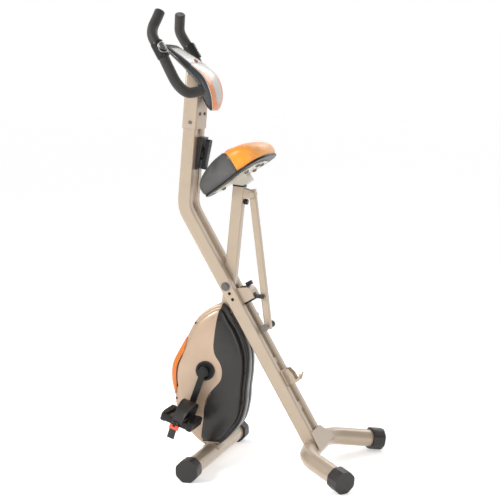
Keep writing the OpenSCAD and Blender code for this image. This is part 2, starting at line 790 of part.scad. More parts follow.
module pedal_body() {
    // spindle along Y at the origin; the foot stands on +z
    difference() {
        union() {
            for (x = [-38, 38]) translate([x, -126, 0]) cube([14, 92, 26], center = true);
            translate([0, -126, 0]) y_rod(11, 92);
            for (y = [-83, -169]) translate([0, y, 0]) cube([90, 9, 20], center = true);
            for (x = [-20, 20]) translate([x, -126, 0]) cube([10, 90, 14], center = true);
        }
        translate([0, -120, 0]) y_rod(6 + running, 120);
    }
}

strap_r = 50.5;
module strap_body() {
    // a flat loop from the pedal's inner edge over the foot to its outer edge
    difference() {
        strap_loop();
        translate([0, -120, 0]) y_rod(7.5, 130);
    }
    translate([4, -178, -15]) cube([26, 3, 44], center = true);
}

module strap_loop() {
    translate([4, -126, -6]) rotate([90, 0, 90]) linear_extrude(34, center = true) difference() {
        union() {
            intersection() {
                circle(strap_r + 2, $fn = 64);
                translate([-60, 16]) square([120, 60]);
            }
            translate([-strap_r, -4]) square([2 * strap_r, 20.1]);
        }
        intersection() {
            circle(strap_r - 1, $fn = 64);
            translate([-60, 15]) square([120, 60]);
        }
        translate([-strap_r + 3, -5]) square([2 * strap_r - 6, 21]);
    }
}

module left_pedal() translate([hub[0] + crank_out[0], 0, hub[1] + crank_out[1]])
    rotate([0, pedal_tilt, 0]) children();
module right_pedal() translate([hub[0] - crank_out[0], 0, hub[1] - crank_out[1]])
    mirror([0, 1, 0]) children();
module pedal_shaft() translate([0, -112, 0]) y_rod(6, 104);

module pedal_left() color(black) left_pedal() pedal_body();
module pedal_right() color(black) right_pedal() pedal_body();
module pedal_axle_left() color(steel) left_pedal() pedal_shaft();
module pedal_axle_right() color(steel) right_pedal() pedal_shaft();
module strap_left() color(charcoal) left_pedal() strap_body();
module strap_right() color(charcoal) right_pedal() strap_body();

// ---- seat ----

pin_s = 241; // the pop pin, along the seat tube
module seat_post() {
    color(champagne) difference() {
        on_seat_tube() translate([0, 0, 60]) linear_extrude(seat_s - 60 + 30) difference() {
            round_rect(post_d, post_w, 3);
            round_rect(post_d - 2 * wall, post_w - 2 * wall, 1.5);
        }
        on_seat() translate([0, 0, 50]) cube([200, 100, 100], center = true);
        on_seat_tube() for (k = [0:6]) translate([0, 0, pin_s - 25 * k])
            x_rod(4.2, post_d / 2 - wall - 1, post_d / 2 + 1);
    }
}

module seat_plate() {
    // pressed pan under the cushion, with its socket and screws
    color([0.86, 0.84, 0.78]) on_seat() {
        linear_extrude(2.5) polygon([[-82, -24], [-82, 24], [-20, 34], [24, 66], [76, 60],
            [86, 0], [76, -60], [24, -66], [-20, -34]]);
        difference() {
            translate([-4, 0, -13]) cube([56, 38, 26], center = true);
            rotate([0, seat_lean + seat_tilt, 0]) cube([post_d, post_w, 160], center = true);
            rotate([0, seat_lean + seat_tilt, 0]) translate([0, 0, tube_top_s + 5.2 - seat_s - 40])
                cube([140, 80, 80], center = true);
        }
    }
    color(steel) on_seat() for (v = [[-60, 0], [34, 38], [34, -38], [66, 20], [66, -20]])
        translate([v[0], v[1], -4]) cylinder(r = 5.5, h = 4, $fn = 6);
}

seat_plan = [
    [-120, 0], [-117, 22], [-104, 36], [-80, 45], [-40, 57], [0, 82], [40, 104], [82, 102],
    [108, 72], [118, 36], [120, 0]
];
seat_side = [
    [-116, 2.5], [-120, 26], [-116, 50], [-97, 65], [-72, 72.5], [-54, 77], [-25, 81.5],
    [-2, 81], [26, 79], [69, 72], [96, 60], [113, 45], [118, 26], [110, 8], [100, 2.5]
];
seat_half = [for (v = spline([for (p = seat_plan) [p[0] * seat_l / 238, p[1] * seat_w / 214]], 4))
    [v[0], max(v[1], 0)]];
seat_outline = concat(seat_half,
    [for (i = [len(seat_half) - 2:-1:1]) [seat_half[i][0], -seat_half[i][1]]]);

module seat_cushion() {
    // one soft solid: the plan, trimmed to the side view and to a crowned section
    color(charcoal) on_seat() intersection() {
        linear_extrude(120) polygon(seat_outline);
        y_plate([for (p = seat_side) [p[0] * seat_l / 238, p[1]]], 300);
        translate([-200, 0, 0]) rotate([90, 0, 90]) linear_extrude(400) polygon([[-96, 0],
            [-108, 20], [-108, 46], [-96, 62], [-72, 76], [-36, 84], [36, 84], [72, 76],
            [96, 62], [108, 46], [108, 20], [96, 0]]);
    }
}

// ---- strut and pins ----

module strut() {
    color(champagne) on_strut() difference() {
        translate([0, 0, -strut_l - 9]) linear_extrude(strut_l + 21) difference() {
            round_rect(strut_w, strut_w, 3);
            round_rect(strut_w - 2 * 1.5, strut_w - 2 * 1.5, 1.5);
        }
        y_rod(4 + running, 60);
        translate([0, 0, -strut_l]) y_rod(strut_pin_r, 60);
    }
    color(black) on_strut() translate([0, 0, 12]) linear_extrude(3) round_rect(strut_w, strut_w, 3);
}

module strut_pin() {
    color(charcoal) on_strut() translate([0, 0, -strut_l]) {
        y_rod(strut_pin_r, 76);
        for (side = [-1, 1]) translate([0, side * 35, 0]) y_rod(10, 6);
    }
}

module seat_pin() {
    // spring pin that holds the seat post, with its knob
    color(black) on_seat_tube() translate([0, 0, pin_s]) {
        x_rod(4, post_d / 2 + 0.4, 20);
        x_rod(8, half_tube + 2, half_tube + 11.8);
    }
}

rail_left();
rail_right();
rail_bridge();
post_sleeve();
post_screws();
rear_base_tube();
rear_base_saddle();
rear_base_caps();
handlebar();
grip_left();
grip_right();
bar_clamp();
pulse_sensors();
pulse_plates();
console_shell();
console_window();
console_board();
mode_button();
tension_base();
tension_knob();
strut_hook();
lock_bracket();
lock_insert();
lock_pin();
pivot_bolt();
seat_tube();
pivot_bushings();
post_collar();
strut_lug();
front_saddle();
front_base_tube();
front_base_caps();
front_base_bolts();
housing_left();
housing_right();
housing_vents();
hub_rings();
housing_screws();
bearing_shell();
drive_bearings();
flywheel_axle();
flywheel();
drive_belt();
magnet_bracket();
crank_left();
crank_right();
drive_pulley();
pedal_left();
pedal_axle_left();
strap_left();
pedal_right();
pedal_axle_right();
strap_right();
seat_post();
seat_plate();
seat_cushion();
strut();
strut_pin();
seat_pin();
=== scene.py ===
import json
import math

import bmesh
import bpy
import numpy as np
from mathutils import Matrix, Quaternion, Vector
from mathutils.bvhtree import BVHTree


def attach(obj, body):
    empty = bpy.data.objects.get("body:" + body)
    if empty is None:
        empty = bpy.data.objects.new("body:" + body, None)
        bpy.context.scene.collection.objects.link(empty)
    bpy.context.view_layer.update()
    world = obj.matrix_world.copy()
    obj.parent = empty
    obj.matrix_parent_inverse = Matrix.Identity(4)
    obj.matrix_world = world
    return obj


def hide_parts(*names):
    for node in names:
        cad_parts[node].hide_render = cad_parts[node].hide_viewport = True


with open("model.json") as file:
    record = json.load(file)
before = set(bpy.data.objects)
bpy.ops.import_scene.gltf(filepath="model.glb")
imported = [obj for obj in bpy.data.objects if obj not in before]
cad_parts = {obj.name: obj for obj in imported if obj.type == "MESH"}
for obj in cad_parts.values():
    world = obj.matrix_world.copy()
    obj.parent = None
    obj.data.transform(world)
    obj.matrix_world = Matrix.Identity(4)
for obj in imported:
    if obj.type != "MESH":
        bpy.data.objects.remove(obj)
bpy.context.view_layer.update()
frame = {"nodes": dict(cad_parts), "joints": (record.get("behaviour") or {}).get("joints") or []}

# ---------------------------------------------------------------- places from the frame, in metres
MM = 0.001
# slides have no place of their own
JOINT_AT = {joint["name"]: Vector(joint["pos_m"]) for joint in frame["joints"] if "pos_m" in joint}
PIVOT = JOINT_AT["fold"]
HUB = JOINT_AT["crank_spin"]
# lean of the seat tube, of the handlebar post and of the rails between pivot and post
SEAT_LEAN = math.radians(6.6)
POST_LEAN = math.radians(5.6)
RAIL_LEAN = math.radians(28.9)
RAIL_RUN = 0.254
# the seat's own zero: up the seat tube from the pivot, then tilted
SEAT_RISE = 0.308
SEAT_TILT = math.radians(32)
SEAT_AT = (Matrix.Translation(PIVOT + SEAT_RISE * Vector((math.sin(SEAT_LEAN), 0, math.cos(SEAT_LEAN))))
           @ Matrix.Rotation(-SEAT_TILT, 4, "Y"))


# ---------------------------------------------------------------- materials
def links(m):
    return m.node_tree.nodes, m.node_tree.links


def base_material(name, rough, metallic=0.0, coat=0.0, spec=0.5, sheen=0.0):
    m = bpy.data.materials.new(name)
    m.use_nodes = True
    b = m.node_tree.nodes["Principled BSDF"]
    b.inputs["Metallic"].default_value = metallic
    b.inputs["Coat Weight"].default_value = coat
    b.inputs["Coat Roughness"].default_value = 0.15
    b.inputs["Specular IOR Level"].default_value = spec
    b.inputs["Sheen Weight"].default_value = sheen
    b.inputs["Roughness"].default_value = rough
    return m, b


def noise(m, scale, detail=4, rough=0.5, vector=None):
    n, l = links(m)
    t = n.new("ShaderNodeTexNoise")
    t.inputs["Scale"].default_value = scale
    t.inputs["Detail"].default_value = detail
    t.inputs["Roughness"].default_value = rough
    if vector is None:
        vector = n.new("ShaderNodeTexCoord").outputs["Object"]
    l.new(vector, t.inputs["Vector"])
    return t.outputs["Fac"]


def span(m, value, low, high, from_low=0.3, from_high=0.7):
    n, l = links(m)
    r = n.new("ShaderNodeMapRange")
    r.inputs["From Min"].default_value = from_low
    r.inputs["From Max"].default_value = from_high
    r.inputs["To Min"].default_value = low
    r.inputs["To Max"].default_value = high
    l.new(value, r.inputs["Value"])
    return r.outputs["Result"]


def mix(m, fac, a, b):
    """Mixes two colours; each input is a socket or a plain value."""
    n, l = links(m)
    x = n.new("ShaderNodeMix")
    x.data_type = "RGBA"
    for socket, value in (("Factor", fac), ("A", a), ("B", b)):
        kind = "VALUE" if socket == "Factor" else "RGBA"
        s = [i for i in x.inputs if i.name == socket and i.type == kind][0]
        if isinstance(value, bpy.types.NodeSocket):
            l.new(value, s)
        else:
            s.default_value = value if socket == "Factor" else (*value, 1.0)
    return [o for o in x.outputs if o.type == "RGBA"][0]


def bump(m, height, strength, distance, under=None):
    n, l = links(m)
    b = n.new("ShaderNodeBump")
    b.inputs["Strength"].default_value = strength
    b.inputs["Distance"].default_value = distance
    l.new(height, b.inputs["Height"])
    if under is not None:
        l.new(under, b.inputs["Normal"])
    return b.outputs["Normal"]


def surface(name, colour, rough, metallic=0.0, coat=0.0, vary=0.08, grain=1400.0, grain_depth=0.00006,
            grain_strength=0.25, rough_vary=0.08, tint=None, speck=None, sheen=0.0, spec=0.5):
    """Procedural finish: slow colour drift, patchy roughness, fine bump and optional flakes."""
    m, b = base_material(name, rough, metallic, coat, spec, sheen)
    wires = m.node_tree.links
    slow = noise(m, 9.0, 5, 0.6)
    light = [min(1.0, c * (1 + vary)) for c in colour]
    dark = [c * (1 - vary) for c in (tint or colour)]
    col = mix(m, span(m, slow, 0, 1), dark, light)
    worn = span(m, noise(m, 70.0, 8, 0.7), 0, 0.55, 0.60, 0.78)
    col = mix(m, worn, col, [min(1.0, c * (1 + 1.6 * vary)) for c in colour])
    if speck:
        flakes = span(m, noise(m, 1500.0, 1), 0, 0.12, 0.45, 0.80)
        col = mix(m, flakes, col, speck)
    wires.new(col, b.inputs["Base Color"])
    patch = noise(m, 34.0, 2, 0.5)
    wires.new(span(m, patch, max(0.03, rough - rough_vary), min(1, rough + rough_vary)), b.inputs["Roughness"])
    fine = bump(m, noise(m, grain, 3), grain_strength, grain_depth)
    wires.new(bump(m, noise(m, 60.0, 2), 0.06, 0.0004, fine), b.inputs["Normal"])
    return m


PAINT = surface("champagne_paint", (0.47, 0.375, 0.280), 0.34, metallic=0.35, coat=0.35, vary=0.04,
                speck=(0.62, 0.53, 0.42), grain=500, grain_strength=0.02, rough_vary=0.04)
BLACK = surface("black_plastic", (0.010, 0.0095, 0.009), 0.36, vary=0.25, grain=1200,
                grain_strength=0.2, spec=0.35)
CHARCOAL = surface("charcoal_plastic", (0.022, 0.019, 0.017), 0.42, vary=0.18, grain=1500,
                   grain_strength=0.5, grain_depth=0.0001)
FOAM = surface("foam_grip", (0.016, 0.013, 0.011), 0.60, vary=0.2, grain=1100, grain_strength=0.8,
               grain_depth=0.00025, rough_vary=0.06, sheen=0.25)
STEEL = surface("plated_steel", (0.50, 0.485, 0.46), 0.28, metallic=1.0, vary=0.08, grain=500,
                grain_strength=0.15)
DARK_STEEL = surface("dark_steel", (0.17, 0.16, 0.15), 0.38, metallic=0.85, vary=0.15)
IRON = surface("cast_iron", (0.10, 0.10, 0.11), 0.55, metallic=0.9, vary=0.2, grain=300, grain_strength=0.6)
ORANGE = surface("orange_plastic", (0.66, 0.170, 0.012), 0.34, coat=0.3, vary=0.08, grain=1200,
                 grain_strength=0.2)
RED = surface("red_buckle", (0.85, 0.105, 0.045), 0.38, coat=0.2, vary=0.08)
PAN = surface("pan_paint", (0.56, 0.52, 0.44), 0.42, metallic=0.2, coat=0.2, vary=0.06)
BOARD = surface("circuit_board", (0.02, 0.16, 0.06), 0.45, vary=0.2, grain=260, grain_strength=0.8)
RUBBER = surface("belt_rubber", (0.025, 0.025, 0.025), 0.66, vary=0.2, grain=600, grain_strength=0.6)
THREAD = surface("stitch_thread", (0.20, 0.19, 0.18), 0.7, vary=0.2, grain=4000, grain_strength=0.8)
THREAD_ORANGE = surface("stitch_orange", (0.75, 0.27, 0.05), 0.7, vary=0.2, grain=4000, grain_strength=0.8)

# the CAD nodes that stay in view; the others are replaced by pieces below
CAD_LOOK = {
    PAINT: ["rail_left", "rail_right", "rail_bridge", "post_sleeve", "rear_base_tube", "rear_base_saddle",
            "strut_hook", "lock_bracket", "seat_tube", "strut_lug", "front_saddle", "front_base_tube",
            "bearing_shell", "seat_post", "strut"],
    STEEL: ["front_base_bolts", "drive_bearings", "flywheel_axle", "pedal_axle_left", "pedal_axle_right"],
    DARK_STEEL: ["post_screws", "pivot_bolt", "handlebar", "strut_pin", "magnet_bracket"],
    BLACK: ["bar_clamp", "pulse_sensors", "tension_knob", "lock_insert", "post_collar", "hub_rings",
            "housing_screws", "seat_pin", "pivot_bushings", "crank_left", "crank_right"],
    CHARCOAL: ["rear_base_caps", "front_base_caps", "tension_base", "lock_pin", "drive_pulley"],
    ORANGE: ["mode_button"],
    BOARD: ["console_board"],
    IRON: ["flywheel"],
    RUBBER: ["drive_belt"],
    PAN: ["seat_plate"],
}
for look, names in CAD_LOOK.items():
    for name in names:
        data = frame["nodes"][name].data
        data.materials.clear()
        data.materials.append(look)
        data.polygons.foreach_set("material_index", [0] * len(data.polygons))


def bevel(o, width, segments=3, angle=30):
    """Rounds the edges sharper than the angle; width in mm."""
    b = o.modifiers.new("soft_edges", "BEVEL")
    b.width = width * MM
    b.segments = segments
    b.limit_method = "ANGLE"
    b.angle_limit = math.radians(angle)


# rounding of the CAD nodes' edges, in mm
BEVELS = {"rear_base_caps": 5.0, "front_base_caps": 5.0, "tension_base": 2.0, "tension_knob": 2.5,
          "lock_pin": 1.5, "lock_insert": 1.0, "lock_bracket": 0.8, "strut_hook": 0.8, "strut_lug": 0.8,
          "crank_left": 2.0, "crank_right": 2.0, "hub_rings": 1.5, "bar_clamp": 2.0,
          "rear_base_saddle": 0.8, "front_saddle": 0.8, "front_base_bolts": 1.0, "strut_pin": 1.2,
          "pivot_bolt": 0.8, "seat_pin": 1.5, "post_screws": 0.7, "post_sleeve": 0.6, "housing_screws": 0.5,
          "strut": 0.4}
WELD_GAP = 0.00001
for name, width in BEVELS.items():
    weld = frame["nodes"][name].modifiers.new("weld", "WELD")
    weld.merge_threshold = WELD_GAP
    bevel(frame["nodes"][name], width, angle=28)


# ---------------------------------------------------------------- mesh helpers
def linked(name, data):
    """A new object in the scene."""
    o = bpy.data.objects.new(name, data)
    bpy.context.scene.collection.objects.link(o)
    return o


def shade(data, smooth=True):
    data.polygons.foreach_set("use_smooth", [smooth] * len(data.polygons))


def turns(count):
    """The angles of equal steps round a full circle."""
    return [2 * math.pi * k / count for k in range(count)]


def new_mesh(name, verts, faces, look, smooth=True):
    data = bpy.data.meshes.new(name)
    data.from_pydata([tuple(v) for v in verts], [], faces)
    data.materials.append(look)
    data.validate()
    b = bmesh.new()
    b.from_mesh(data)
    bmesh.ops.recalc_face_normals(b, faces=b.faces)
    b.to_mesh(data)
    b.free()
    shade(data, smooth)
    return linked(name, data)


def loft(name, rings, look, cap=True, closed=False):
    """Skin over equal rings of points; each ring closes on itself."""
    n = len(rings[0])
    verts = [p for r in rings for p in r]
    faces = []
    last = len(rings) if closed else len(rings) - 1
    for i in range(last):
        j = (i + 1) % len(rings)
        for k in range(n):
            faces.append((i * n + k, i * n + (k + 1) % n, j * n + (k + 1) % n, j * n + k))
    if cap and not closed:
        faces.append(tuple(range(n - 1, -1, -1)))
        faces.append(tuple((len(rings) - 1) * n + k for k in range(n)))
    return new_mesh(name, verts, faces, look)


def between(a, b, c, d, steps):
    """Points on the Catmull-Rom curve from b up to c, with a and d as their neighbours."""
    out = []
    for k in range(steps):
        t = k / steps
        out.append(0.5 * (2 * b + (c - a) * t + (2 * a - 5 * b + 4 * c - d) * t * t
                          + (3 * b - a - 3 * c + d) * t ** 3))
    return out


def spline(points, steps):
    """A smooth open curve through the points."""
    p = [np.array(v, float) for v in points]
    out = []
    for i in range(len(p) - 1):
        out += between(p[max(i - 1, 0)], p[i], p[i + 1], p[min(i + 2, len(p) - 1)], steps)
    return out + [p[-1]]


def loop_spline(points, steps):
    """A smooth closed curve through the points."""
    p = [np.array(v, float) for v in points]
    n = len(p)
    out = []
    for i in range(n):
        out += between(p[i - 1], p[i], p[(i + 1) % n], p[(i + 2) % n], steps)
    return out


def smooth_loop(points, times):
    for _ in range(times):
        points = (np.roll(points, 1, 0) + 2 * points + np.roll(points, -1, 0)) / 4
    return points


def sweep_rings(route, radii, sides=28):
    """Circles of the given radii, square to a route."""
    rings = []
    last = len(route) - 1
    for i, (place, radius) in enumerate(zip(route, radii)):
        ahead = (Vector(route[min(i + 1, last)]) - Vector(route[max(i - 1, 0)])).normalized()
        side = ahead.cross(Vector((0.2, 0, 1))).normalized()
        up = side.cross(ahead)
        rings.append([Vector(place) + radius * (math.cos(a) * side + math.sin(a) * up) for a in turns(sides)])
    return rings


def apply_all(o):
    """The object's modifiers are made part of its mesh."""
    deps = bpy.context.evaluated_depsgraph_get()
    data = bpy.data.meshes.new_from_object(o.evaluated_get(deps))
    o.modifiers.clear()
    o.data = data


def block(name, size, centre, look, radius=2.0, segments=3, turn=None):
    """A rounded block; size, centre and radius in mm."""
    b = bmesh.new()
    bmesh.ops.create_cube(b, size=1.0)
    for v in b.verts:
        v.co = Vector((v.co.x * size[0], v.co.y * size[1], v.co.z * size[2])) * MM
    data = bpy.data.meshes.new(name)
    b.to_mesh(data)
    b.free()
    data.materials.append(look)
    if turn is not None:
        data.transform(turn)
    data.transform(Matrix.Translation(Vector(centre) * MM))
    shade(data)
    o = linked(name, data)
    bevel(o, radius, segments)
    return o


def finish_piece(o, body, nodes=()):
    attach(o, body)
    if nodes:
        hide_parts(*nodes)
    return o


def joined(name, objects):
    """One object from several, each with its modifiers applied."""
    for o in objects:
        apply_all(o)
    looks = []
    b = bmesh.new()
    for o in objects:
        start = len(b.faces)
        remap = {}
        for i, look in enumerate(o.data.materials):
            if look not in looks:
                looks.append(look)
            remap[i] = looks.index(look)
        b.from_mesh(o.data)
        b.faces.ensure_lookup_table()
        for f in b.faces[start:]:
            f.material_index = remap.get(f.material_index, 0)
    data = bpy.data.meshes.new(name)
    b.to_mesh(data)
    b.free()
    for look in looks:
        data.materials.append(look)
    for o in objects:
        bpy.data.objects.remove(o)
    return linked(name, data)


def level(points, x):
    """Straight-line interpolation through [x, y] points."""
    return float(np.interp(x, [p[0] for p in points], [p[1] for p in points]))


def from_pivot(x, y, z):
    """A point in metres from mm off the pivot."""
    return Vector((PIVOT.x + x * MM, y * MM, PIVOT.z + z * MM))


# ---------------------------------------------------------------- housing shells
# the outline seen from the side, in mm from the pivot
SIDE = [(-18, -51), (-54, -66), (-91, -96), (-118, -141), (-142, -189), (-163, -232), (-168, -273),
        (-163, -314), (-161, -352), (-143, -398), (-112, -436), (-80, -462), (-52, -468), (-22, -456),
        (10, -425), (37, -388), (50, -340), (54, -296), (60, -252), (62, -205), (54, -165),
        (36, -122), (14, -88), (0, -62)]
MID = np.array([-53.0, -260.0])
# about half the outline's width and height
REACH = np.array([115.0, 209.0])
outline = smooth_loop(np.array(loop_spline(SIDE, 14)), 6)
# the line where the gold front meets the dark rear, in mm from the pivot
SPLIT = np.array(spline([
    (-8, -30), (-14, -52), (-23, -83), (-32, -133), (-37, -178), (-31, -199), (-18, -220), (-12, -245),
    (-18, -271), (-38, -294), (-58, -317), (-66, -343), (-71, -388), (-79, -436), (-81, -480)], 6))
SPLIT_LIMIT = 60
# stands for "well away from the split line" on the narrow rim
RIM_SPLIT = 40


def inset(d):
    """The outline drawn in by about d mm."""
    return MID + (outline - MID) * (1 - d / REACH)


def outward(point):
    """The direction from the housing's middle to a point."""
    away = point - MID
    return away / np.hypot(*away)


def split_side(x, z):
    """Signed distance in mm from the split line, positive on the dark side."""
    a, b = SPLIT[:-1], SPLIT[1:]
    t = b - a
    d = np.array([x, z]) - a
    f = np.clip((d * t).sum(1) / (t * t).sum(1), 0, 1)
    off = d - t * f[:, None]
    k = int(np.argmin((off ** 2).sum(1)))
    cross = t[k][0] * d[k][1] - t[k][1] * d[k][0]
    return math.copysign(min(float(np.hypot(*off[k])), SPLIT_LIMIT), cross)


def shell_material():
    m, b = base_material("housing_two_tone", 0.36, 0.2, 0.25)
    n, l = links(m)
    a = n.new("ShaderNodeAttribute")
    a.attribute_name = "split"
    dark_side = span(m, a.outputs["Fac"], 0, 1, -0.15, 0.15)
    groove = n.new("ShaderNodeMath")
    groove.operation = "ABSOLUTE"
    l.new(a.outputs["Fac"], groove.inputs[0])
    seam = span(m, groove.outputs[0], 1, 0, 0.3, 0.9)
    slow = noise(m, 9.0, 5, 0.6)
    gold = mix(m, span(m, slow, 0, 1), (0.44, 0.310, 0.215), (0.50, 0.360, 0.255))
    gold = mix(m, span(m, noise(m, 1500.0, 1), 0, 0.2, 0.45, 0.80), gold, (0.72, 0.55, 0.41))
    dark = mix(m, span(m, slow, 0, 1), (0.013, 0.011, 0.010), (0.024, 0.021, 0.019))
    col = mix(m, dark_side, gold, dark)
    col = mix(m, seam, col, (0.012, 0.010, 0.009))
    l.new(col, b.inputs["Base Color"])
    l.new(span(m, noise(m, 34.0, 6, 0.65), 0.27, 0.42), b.inputs["Roughness"])
    fine = bump(m, noise(m, 1500.0, 3), 0.18, 0.00006)
    l.new(bump(m, noise(m, 60.0, 3), 0.08, 0.0006, fine), b.inputs["Normal"])
    return m


SHELL = shell_material()
# distance in from the outline (mm) against how far the surface stands from the middle plane (mm)
PROFILE = [(0, 0), (0, 14), (0.3, 25), (1.2, 28.6), (3.2, 30.6), (6, 31.2), (10, 31.6), (12.5, 32.0),
           (13.6, 33.0), (14.2, 36), (14.9, 39.4), (16.4, 41.8), (19, 43.4), (22, 44.6), (26, 45.7),
           (30, 46.6), (34, 47.3), (38, 47.9), (42, 48.4), (46, 48.8), (50, 49.1), (54, 49.4), (58, 49.6),
           (62, 49.8), (66, 49.9), (70, 50), (74, 50), (78, 50), (82, 50), (86, 50), (90, 50)]
FACE_Y = PROFILE[-1][1]
# insets in mm: the raised face's edge is drawn in by a further EDGE_SHIFT
EDGE_FROM = 12
EDGE_TO = 17
EDGE_SHIFT = 1
# the hollow round the rear of the rim: where it lies, and its depth in mm
HOLLOW_FROM = 4
HOLLOW_TO = 12.6
HOLLOW_DEPTH = 5.5
HOLLOW_ALONG = [(-110, 0), (-20, 0), (20, 1), (80, 1)]
HOLLOW_UP = [(-440, 0), (-400, 1), (-110, 1), (-70, 0)]
RIM_WIDTH = 2.5
SHELL_WALL = 0.0024
TUBE_SLOT = (36, 33, 150)


def housing_ring(side, d, y):
    """One ring of the shell, and each point's distance from the split line."""
    ring = []
    split = []
    for x, z in inset(d + EDGE_SHIFT if EDGE_FROM <= d <= EDGE_TO else d):
        depth = 0
        if HOLLOW_FROM <= d <= HOLLOW_TO:
            depth = HOLLOW_DEPTH * level(HOLLOW_ALONG, x) * level(HOLLOW_UP, z) * math.sin(
                math.pi * (d - 3) / 10.5)
        ring.append(from_pivot(x, side * (y - depth), z))
        away = split_side(x, z)
        split.append(away if d > RIM_WIDTH else math.copysign(RIM_SPLIT, away))
    return ring, split


def housing(side, name, cad):
    rings = []
    split = []
    for d, y in PROFILE:
        ring, away = housing_ring(side, d, y)
        rings.append(ring)
        split += away
    o = loft(name, rings, SHELL, cap=False)
    o.data.attributes.new("split", "FLOAT", "POINT").data.foreach_set("value", split)
    # close the middle with a flat fan
    b = bmesh.new()
    b.from_mesh(o.data)
    b.verts.ensure_lookup_table()
    n = len(outline)
    last = [b.verts[(len(PROFILE) - 1) * n + i] for i in range(n)]
    centre = b.verts.new(from_pivot(MID[0], side * FACE_Y, MID[1]))
    for i in range(n):
        b.faces.new((last[i], last[(i + 1) % n], centre))
    bmesh.ops.recalc_face_normals(b, faces=b.faces)
    spokes = [e for e in b.edges if centre in e.verts]
    bmesh.ops.subdivide_edges(b, edges=spokes, cuts=6, use_grid_fill=True)
    layer = b.verts.layers.float["split"]
    for v in b.verts:
        if abs(abs(v.co.y) - FACE_Y * MM) < 0.2 * MM:
            v[layer] = split_side((v.co.x - PIVOT.x) / MM, (v.co.z - PIVOT.z) / MM)
    b.to_mesh(o.data)
    b.free()
    shade(o.data)
    solid = o.modifiers.new("wall", "SOLIDIFY")
    solid.thickness = SHELL_WALL
    solid.offset = -1
    # an opening where the seat tube comes out at the top
    tube = block("cut", TUBE_SLOT, (0, 0, -100), BLACK)
    tube.modifiers.clear()
    tube.data.transform(Matrix.Translation(PIVOT) @ Matrix.Rotation(SEAT_LEAN, 4, "Y"))
    cut = o.modifiers.new("cut", "BOOLEAN")
    cut.object = tube
    cut.operation = "DIFFERENCE"
    cut.solver = "EXACT"
    apply_all(o)
    bpy.data.objects.remove(tube)
    finish_piece(o, "seat_frame", [cad])


housing(-1, "shell_left", "housing_left")
housing(1, "shell_right", "housing_right")


def front_edge(top, low):
    """The outline's points on the front edge, between two heights in mm from the pivot."""
    return [i for i, (x, z) in enumerate(outline) if x < -110 and low < z < top]


def swell(k, count, ease, power):
    """Fullness from end to end of a strip: near 0 at its ends and 1 in its middle."""
    return math.sin(math.pi * (k + ease) / (count - 1 + 2 * ease)) ** power


def crescent(side, name, nodes=()):
    """The orange crescent that wraps the front edge."""
    edge = front_edge(-150, -320)
    rings = []
    for k, i in enumerate(edge):
        full = swell(k, len(edge), 0.15, 0.55)
        # how far it laps over the face and how far it stands out, in mm
        w = 12 * full + 2
        g = 8 * full
        section = [
            (0.6 + g, 0.4), (0.9 + g, 12), (0.6 + 0.9 * g, 21), (0.3 + 0.6 * g, 27.5), (0, 31.8),
            (-0.4 * w, 33.4), (-0.8 * w, 33.9), (-w, 33.6), (-w - 0.3, 31.5), (-0.5 * w, 30), (-1.5, 12),
            (-1.5, 0.4)]
        ring = []
        for d, y in section:
            x, z = outline[i] + outward(outline[i]) * d
            ring.append(from_pivot(x, side * y, z))
        rings.append(ring)
    o = loft(name, rings, ORANGE)
    bevel(o, 0.8, 2, 40)
    apply_all(o)
    finish_piece(o, "seat_frame", nodes)


crescent(-1, "crescent_left", ["housing_vents"])
crescent(1, "crescent_right")

# the black strip of painted shade for the gap between the crescent and the face lies this far in from the
# outline, in mm
GAP_SHADE_INSET = 13.2
GAP_SHADE_SECTION = ((3.4, 32.8), (2.2, 35.4), (-0.2, 38.8), (-2.2, 41.6), (-2.6, 38), (2.6, 31))


def gap_shade_strip(side, name):
    """A black strip of painted shade in the gap inside the crescent."""
    edge = front_edge(-196, -302)
    rings = []
    for k, i in enumerate(edge):
        full = swell(k, len(edge), 0.3, 0.6)
        ring = []
        for d, y in GAP_SHADE_SECTION:
            x, z = inset(GAP_SHADE_INSET)[i] + outward(outline[i]) * d * full
            ring.append(from_pivot(x, side * y, z))
        rings.append(ring)
    finish_piece(loft(name, rings, BLACK), "seat_frame")


# black strips of painted shade in the gaps, one on each shell
gap_shade_strip(-1, "gap_shade_left")
gap_shade_strip(1, "gap_shade_right")


# ---------------------------------------------------------------- handlebar foam
def post_x(z):
    """The handlebar post's axis at a height."""
    foot_x = PIVOT.x - RAIL_RUN * math.sin(RAIL_LEAN)
    foot_z = PIVOT.z + RAIL_RUN * math.cos(RAIL_LEAN)
    return foot_x + (z - foot_z) * math.tan(POST_LEAN)


BAR_Z = 1.065
BAR_AHEAD = 0.035
BAR_X = post_x(BAR_Z) + BAR_AHEAD
# the left half of the bar, in mm from its middle
BAR = [(0, 0, 0), (0, -40, 0), (-6, -72, -3), (-28, -102, -4), (-50, -120, 20), (-72, -128, 66),
       (-93, -130, 112), (-115, -125, 146), (-122, -108, 172), (-116, -92, 198), (-110, -80, 220)]
FOAM_R = 14.9
FOAM_START = 12
# the foam's closed end is rounded over: distance along and radius, in mm
FOAM_END = [(0, 14.9), (2.4, 14.6), (3.8, 13.4), (4.4, 11.6), (4.5, 6.0), (4.5, 1.0)]


def bar_points(steps):
    return [Vector((BAR_X + x * MM, y * MM, BAR_Z + z * MM)) for x, y, z in spline(BAR, steps)]


def grip(side, name, cad):
    route = bar_points(9)[FOAM_START:]
    radii = [12.8, 14.2, 14.8] + [FOAM_R] * (len(route) - 3)
    ahead = (route[-1] - route[-2]).normalized()
    base = route[-1] - ahead * FOAM_END[-1][0] * MM
    route = route[:-4] + [base + ahead * s * MM for s, r in FOAM_END]
    radii = radii[:-4] + [r for s, r in FOAM_END]
    circles = sweep_rings(route, [r * MM for r in radii])
    rings = [[Vector((p.x, p.y * -side, p.z)) for p in circle] for circle in circles]
    finish_piece(loft(name, rings, FOAM), "main_frame", [cad])


grip(-1, "foam_left", "grip_left")
grip(1, "foam_right", "grip_right")

